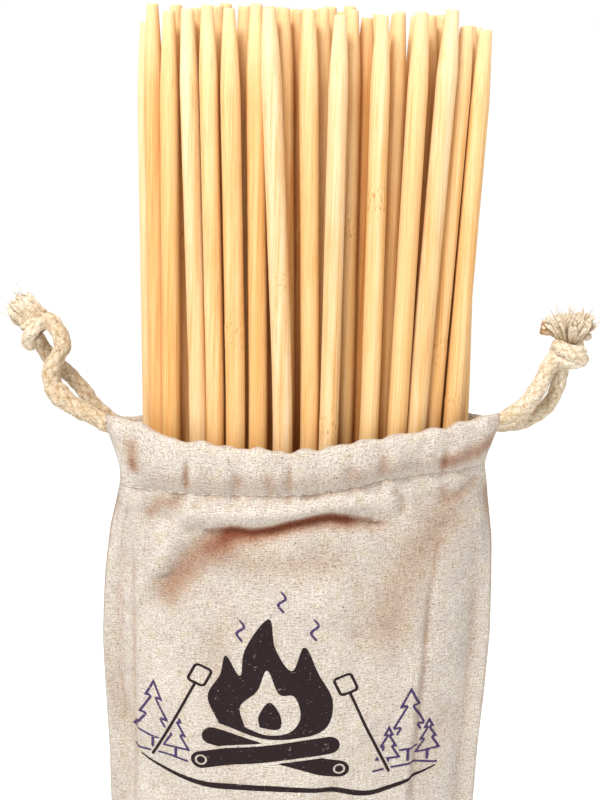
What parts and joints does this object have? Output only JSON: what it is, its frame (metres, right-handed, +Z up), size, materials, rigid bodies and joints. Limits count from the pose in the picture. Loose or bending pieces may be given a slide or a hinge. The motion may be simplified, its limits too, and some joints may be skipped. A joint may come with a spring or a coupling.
{
  "type": "roasting stick set in a drawstring bag",
  "caption": "Bundle of long blunt-tipped bamboo marshmallow roasting sticks standing in a tall narrow cotton drawstring bag with a knotted, tasselled cord at each side.",
  "frame": {"origin": "middle of the bag's flat base", "axes": "+Z up along the sticks, the front of the bag faces -Y, +X to the right seen from the front"},
  "size_m": [0.1582, 0.0474, 0.7671],
  "materials": {
    "bag_cotton": "plain-weave unbleached cotton",
    "cord_cotton": "soft braided cotton",
    "thread": "matte sewing thread",
    "bamboo": "smooth unvarnished bamboo"
  },
  "bodies": {
    "bag": {"bag_front_panel": "bag_cotton", "bag_back_panel": "bag_cotton", "left_drawcord_loop": "cord_cotton", "right_drawcord_loop": "cord_cotton", "hem_stitching_front": "thread", "hem_stitching_back": "thread", "side_seam_stitching_left": "thread", "side_seam_stitching_right": "thread", "bottom_seam_stitching": "thread"},
    "left_cord": {"left_cord_strands": "cord_cotton"},
    "left_knot": {"left_cord_knot": "cord_cotton", "left_cord_tassel": "cord_cotton"},
    "right_cord": {"right_cord_strands": "cord_cotton"},
    "right_knot": {"right_cord_knot": "cord_cotton", "right_cord_tassel": "cord_cotton"},
    "stick_01": {"stick_01": "bamboo"},
    "stick_02": {"stick_02": "bamboo"},
    "stick_03": {"stick_03": "bamboo"},
    "stick_04": {"stick_04": "bamboo"},
    "stick_05": {"stick_05": "bamboo"},
    "stick_06": {"stick_06": "bamboo"},
    "stick_07": {"stick_07": "bamboo"},
    "stick_08": {"stick_08": "bamboo"},
    "stick_09": {"stick_09": "bamboo"},
    "stick_10": {"stick_10": "bamboo"},
    "stick_11": {"stick_11": "bamboo"},
    "stick_12": {"stick_12": "bamboo"},
    "stick_13": {"stick_13": "bamboo"},
    "stick_14": {"stick_14": "bamboo"},
    "stick_15": {"stick_15": "bamboo"},
    "stick_16": {"stick_16": "bamboo"},
    "stick_17": {"stick_17": "bamboo"},
    "stick_18": {"stick_18": "bamboo"},
    "stick_19": {"stick_19": "bamboo"},
    "stick_20": {"stick_20": "bamboo"},
    "stick_21": {"stick_21": "bamboo"},
    "stick_22": {"stick_22": "bamboo"},
    "stick_23": {"stick_23": "bamboo"},
    "stick_24": {"stick_24": "bamboo"},
    "stick_25": {"stick_25": "bamboo"},
    "stick_26": {"stick_26": "bamboo"},
    "stick_27": {"stick_27": "bamboo"},
    "stick_28": {"stick_28": "bamboo"},
    "stick_29": {"stick_29": "bamboo"},
    "stick_30": {"stick_30": "bamboo"},
    "stick_31": {"stick_31": "bamboo"},
    "stick_32": {"stick_32": "bamboo"},
    "stick_33": {"stick_33": "bamboo"},
    "stick_34": {"stick_34": "bamboo"},
    "stick_35": {"stick_35": "bamboo"},
    "stick_36": {"stick_36": "bamboo"},
    "stick_37": {"stick_37": "bamboo"},
    "stick_38": {"stick_38": "bamboo"},
    "stick_39": {"stick_39": "bamboo"},
    "stick_40": {"stick_40": "bamboo"},
    "stick_41": {"stick_41": "bamboo"},
    "stick_42": {"stick_42": "bamboo"},
    "stick_43": {"stick_43": "bamboo"},
    "stick_44": {"stick_44": "bamboo"}
  },
  "joints": [
    {"name": "left_cord_swing", "type": "hinge", "parent": "bag", "child": "left_cord", "pos_m": [-0.0556, 0, 0.6515], "axis": [0, -1, 0], "range_deg": [-14, 104]},
    {"name": "left_cord_pull", "type": "slide", "parent": "left_cord", "child": "left_knot", "axis": [-0.4423, 0, 0.8969], "range_m": [0, 0.04]},
    {"name": "right_cord_swing", "type": "hinge", "parent": "bag", "child": "right_cord", "pos_m": [0.0556, 0, 0.6571], "axis": [0, 1, 0], "range_deg": [-14, 104]},
    {"name": "right_cord_pull", "type": "slide", "parent": "right_cord", "child": "right_knot", "axis": [0.5209, 0, 0.8536], "range_m": [0, 0.04]},
    {"name": "stick_01_lift", "type": "slide", "parent": "bag", "child": "stick_01", "axis": [-0.0114, -0.001, 0.9999], "range_m": [0, 0.66]},
    {"name": "stick_02_lift", "type": "slide", "parent": "bag", "child": "stick_02", "axis": [-0.0098, -0.0028, 0.9999], "range_m": [0, 0.66]},
    {"name": "stick_03_lift", "type": "slide", "parent": "bag", "child": "stick_03", "axis": [-0.0098, -0.0022, 0.9999], "range_m": [0, 0.66]},
    {"name": "stick_04_lift", "type": "slide", "parent": "bag", "child": "stick_04", "axis": [-0.0042, -0.0056, 1], "range_m": [0, 0.66]},
    {"name": "stick_05_lift", "type": "slide", "parent": "bag", "child": "stick_05", "axis": [0.0017, 0, 1], "range_m": [0, 0.66]},
    {"name": "stick_06_lift", "type": "slide", "parent": "bag", "child": "stick_06", "axis": [0.0096, -0.0004, 1], "range_m": [0, 0.66]},
    {"name": "stick_07_lift", "type": "slide", "parent": "bag", "child": "stick_07", "axis": [-0.0126, -0.0025, 0.9999], "range_m": [0, 0.66]},
    {"name": "stick_08_lift", "type": "slide", "parent": "bag", "child": "stick_08", "axis": [-0.0115, -0.0006, 0.9999], "range_m": [0, 0.66]},
    {"name": "stick_09_lift", "type": "slide", "parent": "bag", "child": "stick_09", "axis": [-0.0121, -0.0026, 0.9999], "range_m": [0, 0.66]},
    {"name": "stick_10_lift", "type": "slide", "parent": "bag", "child": "stick_10", "axis": [-0.0063, -0.0007, 1], "range_m": [0, 0.66]},
    {"name": "stick_11_lift", "type": "slide", "parent": "bag", "child": "stick_11", "axis": [-0.006, -0.003, 1], "range_m": [0, 0.66]},
    {"name": "stick_12_lift", "type": "slide", "parent": "bag", "child": "stick_12", "axis": [-0.005, -0.0041, 1], "range_m": [0, 0.66]},
    {"name": "stick_13_lift", "type": "slide", "parent": "bag", "child": "stick_13", "axis": [-0.0017, -0.0018, 1], "range_m": [0, 0.66]},
    {"name": "stick_14_lift", "type": "slide", "parent": "bag", "child": "stick_14", "axis": [0.0062, -0.0003, 1], "range_m": [0, 0.66]},
    {"name": "stick_15_lift", "type": "slide", "parent": "bag", "child": "stick_15", "axis": [0.0134, 0.0013, 0.9999], "range_m": [0, 0.66]},
    {"name": "stick_16_lift", "type": "slide", "parent": "bag", "child": "stick_16", "axis": [0.0145, 0.0006, 0.9999], "range_m": [0, 0.66]},
    {"name": "stick_17_lift", "type": "slide", "parent": "bag", "child": "stick_17", "axis": [0.0166, -0.0006, 0.9999], "range_m": [0, 0.66]},
    {"name": "stick_18_lift", "type": "slide", "parent": "bag", "child": "stick_18", "axis": [-0.0199, -0.0037, 0.9998], "range_m": [0, 0.66]},
    {"name": "stick_19_lift", "type": "slide", "parent": "bag", "child": "stick_19", "axis": [-0.0121, -0.0018, 0.9999], "range_m": [0, 0.66]},
    {"name": "stick_20_lift", "type": "slide", "parent": "bag", "child": "stick_20", "axis": [-0.0126, -0.0007, 0.9999], "range_m": [0, 0.66]},
    {"name": "stick_21_lift", "type": "slide", "parent": "bag", "child": "stick_21", "axis": [-0.0124, -0.0005, 0.9999], "range_m": [0, 0.66]},
    {"name": "stick_22_lift", "type": "slide", "parent": "bag", "child": "stick_22", "axis": [-0.0116, -0.0036, 0.9999], "range_m": [0, 0.66]},
    {"name": "stick_23_lift", "type": "slide", "parent": "bag", "child": "stick_23", "axis": [-0.0027, -0.0021, 1], "range_m": [0, 0.66]},
    {"name": "stick_24_lift", "type": "slide", "parent": "bag", "child": "stick_24", "axis": [-0.0041, -0.004, 1], "range_m": [0, 0.66]},
    {"name": "stick_25_lift", "type": "slide", "parent": "bag", "child": "stick_25", "axis": [-0.001, -0.0023, 1], "range_m": [0, 0.66]},
    {"name": "stick_26_lift", "type": "slide", "parent": "bag", "child": "stick_26", "axis": [-0.0008, -0.0043, 1], "range_m": [0, 0.66]},
    {"name": "stick_27_lift", "type": "slide", "parent": "bag", "child": "stick_27", "axis": [-0.0003, -0.0033, 1], "range_m": [0, 0.66]},
    {"name": "stick_28_lift", "type": "slide", "parent": "bag", "child": "stick_28", "axis": [0.005, -0.0032, 1], "range_m": [0, 0.66]},
    {"name": "stick_29_lift", "type": "slide", "parent": "bag", "child": "stick_29", "axis": [0.0118, -0.0023, 0.9999], "range_m": [0, 0.66]},
    {"name": "stick_30_lift", "type": "slide", "parent": "bag", "child": "stick_30", "axis": [0.0094, 0.0015, 1], "range_m": [0, 0.66]},
    {"name": "stick_31_lift", "type": "slide", "parent": "bag", "child": "stick_31", "axis": [0.0165, 0.0001, 0.9999], "range_m": [0, 0.66]},
    {"name": "stick_32_lift", "type": "slide", "parent": "bag", "child": "stick_32", "axis": [0.0125, 0.0021, 0.9999], "range_m": [0, 0.66]},
    {"name": "stick_33_lift", "type": "slide", "parent": "bag", "child": "stick_33", "axis": [-0.0142, -0.0011, 0.9999], "range_m": [0, 0.66]},
    {"name": "stick_34_lift", "type": "slide", "parent": "bag", "child": "stick_34", "axis": [-0.0097, 0.0018, 1], "range_m": [0, 0.66]},
    {"name": "stick_35_lift", "type": "slide", "parent": "bag", "child": "stick_35", "axis": [-0.0091, -0.0033, 1], "range_m": [0, 0.66]},
    {"name": "stick_36_lift", "type": "slide", "parent": "bag", "child": "stick_36", "axis": [-0.0045, 0.001, 1], "range_m": [0, 0.66]},
    {"name": "stick_37_lift", "type": "slide", "parent": "bag", "child": "stick_37", "axis": [-0.0029, -0.0002, 1], "range_m": [0, 0.66]},
    {"name": "stick_38_lift", "type": "slide", "parent": "bag", "child": "stick_38", "axis": [0, 0.0001, 1], "range_m": [0, 0.66]},
    {"name": "stick_39_lift", "type": "slide", "parent": "bag", "child": "stick_39", "axis": [0.0032, -0.0012, 1], "range_m": [0, 0.66]},
    {"name": "stick_40_lift", "type": "slide", "parent": "bag", "child": "stick_40", "axis": [0.0073, -0.0007, 1], "range_m": [0, 0.66]},
    {"name": "stick_41_lift", "type": "slide", "parent": "bag", "child": "stick_41", "axis": [0.0118, 0.001, 0.9999], "range_m": [0, 0.66]},
    {"name": "stick_42_lift", "type": "slide", "parent": "bag", "child": "stick_42", "axis": [0.0123, 0.0019, 0.9999], "range_m": [0, 0.66]},
    {"name": "stick_43_lift", "type": "slide", "parent": "bag", "child": "stick_43", "axis": [-0.0061, -0.0011, 1], "range_m": [0, 0.66]},
    {"name": "stick_44_lift", "type": "slide", "parent": "bag", "child": "stick_44", "axis": [-0.0036, 0.0021, 1], "range_m": [0, 0.66]}
  ]
}
